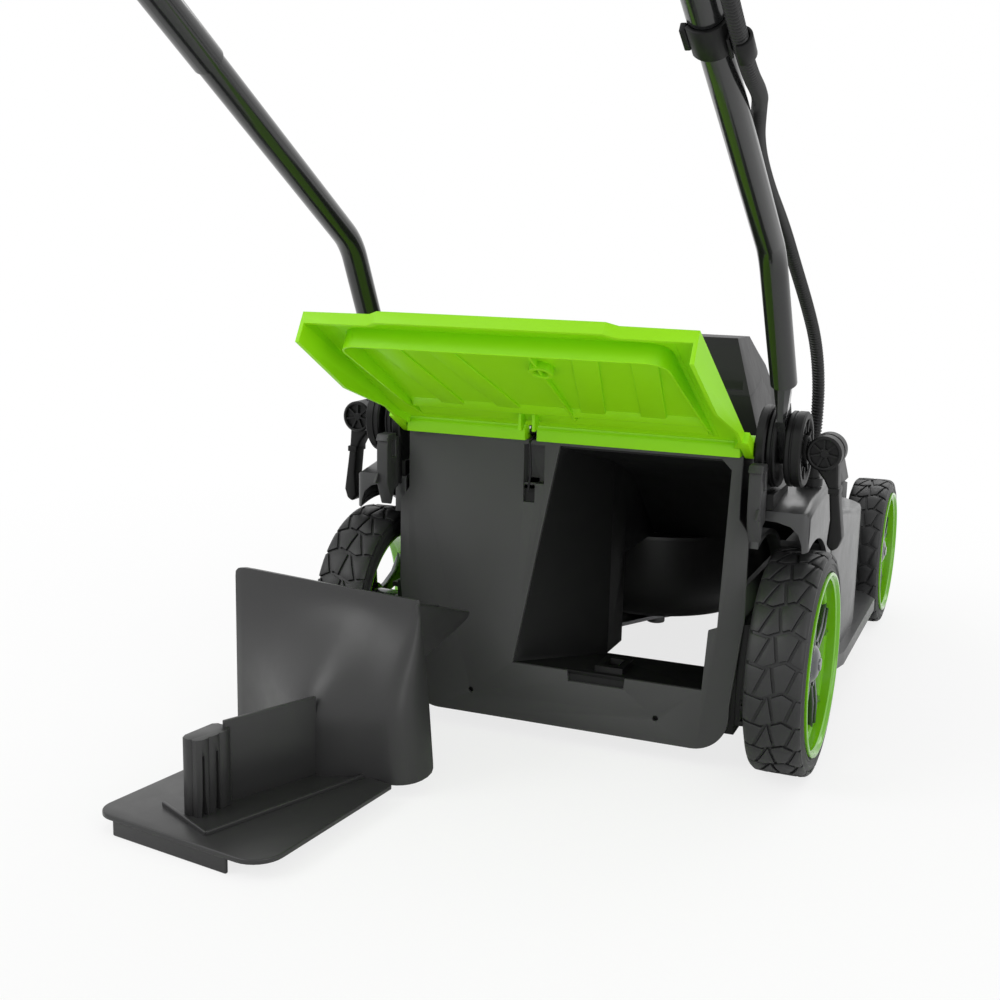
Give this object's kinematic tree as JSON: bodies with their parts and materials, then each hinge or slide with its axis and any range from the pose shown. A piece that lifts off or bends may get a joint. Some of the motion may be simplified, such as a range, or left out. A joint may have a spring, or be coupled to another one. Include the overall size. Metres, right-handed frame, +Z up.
{
  "type": "push lawn mower",
  "caption": "Rear-discharge push mower with an open flap, folding tube handle, motor over a blade, spoked wheels and a mulch plug beside it.",
  "frame": {"origin": "on the ground, on the centre plane, under the rear face of the discharge panel", "axes": "+Y to the front, +X to the mower's right as the user stands behind it, +Z up"},
  "size_m": [0.4692, 1.4311, 0.9035],
  "materials": {
    "bail_paint": "black powder coat",
    "battery_plastic": "black pack case",
    "black_plastic": "black moulding",
    "blade_steel": "ground blade steel",
    "board_green": "coated circuit board",
    "conduit_black": "black corrugated conduit",
    "grip_foam": "black foam grip",
    "key_red": "red key",
    "lime_button": "glossy lime green",
    "lime_plastic": "satin moulded lime green with a fine grain",
    "lime_rim": "glossy lime green, paler at the lip",
    "motor_alu": "cast motor case",
    "panel_grey": "satin charcoal moulding with a fine grain",
    "plug_grey": "charcoal moulding",
    "side_grey": "satin dark grey moulding",
    "smoked_window": "smoked clear plastic",
    "spoke_grey": "metallic grey spokes",
    "tube_paint": "glossy dark grey powder coat",
    "tyre_rubber": "black rubber with a block tread",
    "zinc_steel": "zinc-plated steel"
  },
  "bodies": {
    "chassis": {"axle_nuts": "zinc_steel", "bag_hooks": "black_plastic", "cable_grommet": "black_plastic", "cam_washers": "black_plastic", "clamp_rods": "zinc_steel", "controller_board": "board_green", "deck_shell": "black_plastic", "discharge_tunnel": "black_plastic", "flap_spring": "zinc_steel", "front_axle": "zinc_steel", "front_bumper": "panel_grey", "handle_brackets": "black_plastic", "hinge_rod": "zinc_steel", "hinge_strip": "lime_plastic", "lid_pins": "zinc_steel", "motor_can": "motor_alu", "motor_hood": "panel_grey", "motor_pod": "black_plastic", "rear_axle_brackets": "black_plastic", "rear_axle_stubs": "zinc_steel", "rear_panel": "panel_grey", "side_cover_left": "side_grey", "side_cover_right": "side_grey", "spindle_bearing": "zinc_steel"},
    "flap": {"rear_flap": "lime_plastic"},
    "handle": {"lower_handle_left": "tube_paint", "lower_handle_right": "tube_paint", "upper_handle": "tube_paint", "pivot_discs": "black_plastic", "switch_box": "black_plastic", "bail_bracket": "black_plastic", "handle_grip": "grip_foam", "cable_clip": "black_plastic", "cable_conduit": "conduit_black"},
    "bail": {"bail_lever": "bail_paint"},
    "start_button": {"start_button": "lime_button"},
    "lid": {"battery_lid": "panel_grey", "lid_window": "smoked_window"},
    "battery_pack_left": {"battery_left": "battery_plastic"},
    "battery_pack_right": {"battery_right": "battery_plastic"},
    "key": {"safety_key": "key_red"},
    "cutting_set": {"motor_rotor": "zinc_steel", "blade_carrier": "black_plastic", "blade": "blade_steel", "blade_bolt": "zinc_steel"},
    "lever_left": {"cam_lever_left": "black_plastic"},
    "lever_right": {"cam_lever_right": "black_plastic"},
    "plug": {"mulch_plug": "plug_grey"},
    "front_wheel_left": {"front_tyre_left": "tyre_rubber", "front_rim_left": "lime_rim", "front_hub_left": "spoke_grey"},
    "front_wheel_right": {"front_tyre_right": "tyre_rubber", "front_rim_right": "lime_rim", "front_hub_right": "spoke_grey"},
    "rear_wheel_left": {"rear_tyre_left": "tyre_rubber", "rear_rim_left": "lime_rim", "rear_hub_left": "spoke_grey"},
    "rear_wheel_right": {"rear_tyre_right": "tyre_rubber", "rear_rim_right": "lime_rim", "rear_hub_right": "spoke_grey"}
  },
  "joints": [
    {"name": "flap_hinge", "type": "hinge", "parent": "chassis", "child": "flap", "pos_m": [0, 0.008, 0.264], "axis": [1, 0, 0], "range_deg": [0, 62], "deforming": ["flap_spring"]},
    {"name": "handle_fold", "type": "hinge", "parent": "chassis", "child": "handle", "pos_m": [0, 0.03, 0.262], "axis": [1, 0, 0], "range_deg": [-120, 0], "deforming": ["cable_conduit"]},
    {"name": "bail_pull", "type": "hinge", "parent": "handle", "child": "bail", "pos_m": [0, -0.6769, 0.7938], "axis": [1, 0, 0], "range_deg": [0, 17], "stiffness_Nm_per_rad": 1, "springref_deg": -22.92},
    {"name": "start_press", "type": "slide", "parent": "handle", "child": "start_button", "axis": [0, -0.515, -0.8572], "range_m": [0, 0.004], "stiffness_N_per_m": 300, "springref_m": -0.004},
    {"name": "lid_hinge", "type": "hinge", "parent": "chassis", "child": "lid", "pos_m": [0, 0.439, 0.233], "axis": [-1, 0, 0], "range_deg": [0, 70]},
    {"name": "battery_left_lift", "type": "slide", "parent": "chassis", "child": "battery_pack_left", "axis": [0, 0, 1], "range_m": [0, 0.004]},
    {"name": "battery_right_lift", "type": "slide", "parent": "chassis", "child": "battery_pack_right", "axis": [0, 0, 1], "range_m": [0, 0.004]},
    {"name": "key_pull", "type": "slide", "parent": "chassis", "child": "key", "axis": [0, 0, 1], "range_m": [0, 0.03]},
    {"name": "blade_spin", "type": "hinge", "parent": "chassis", "child": "cutting_set", "pos_m": [0, 0.285, 0.046], "axis": [0, 0, 1], "continuous": true},
    {"name": "lever_left_swing", "type": "hinge", "parent": "chassis", "child": "lever_left", "pos_m": [-0.2005, 0.03, 0.262], "axis": [0, 1, 0], "range_deg": [0, 110]},
    {"name": "lever_right_swing", "type": "hinge", "parent": "chassis", "child": "lever_right", "pos_m": [0.2005, 0.03, 0.262], "axis": [0, -1, 0], "range_deg": [0, 110]},
    {"name": "plug_slide", "type": "slide", "parent": "chassis", "child": "plug", "axis": [0, -1, 0], "range_m": [0, 0.15]},
    {"name": "rear_wheel_left_spin", "type": "hinge", "parent": "chassis", "child": "rear_wheel_left", "pos_m": [-0.185, 0.035, 0.09], "axis": [1, 0, 0], "continuous": true},
    {"name": "rear_wheel_right_spin", "type": "hinge", "parent": "chassis", "child": "rear_wheel_right", "pos_m": [0.185, 0.035, 0.09], "axis": [1, 0, 0], "continuous": true},
    {"name": "front_wheel_left_spin", "type": "hinge", "parent": "chassis", "child": "front_wheel_left", "pos_m": [-0.185, 0.52, 0.08], "axis": [1, 0, 0], "continuous": true},
    {"name": "front_wheel_right_spin", "type": "hinge", "parent": "chassis", "child": "front_wheel_right", "pos_m": [0.185, 0.52, 0.08], "axis": [1, 0, 0], "continuous": true}
  ]
}
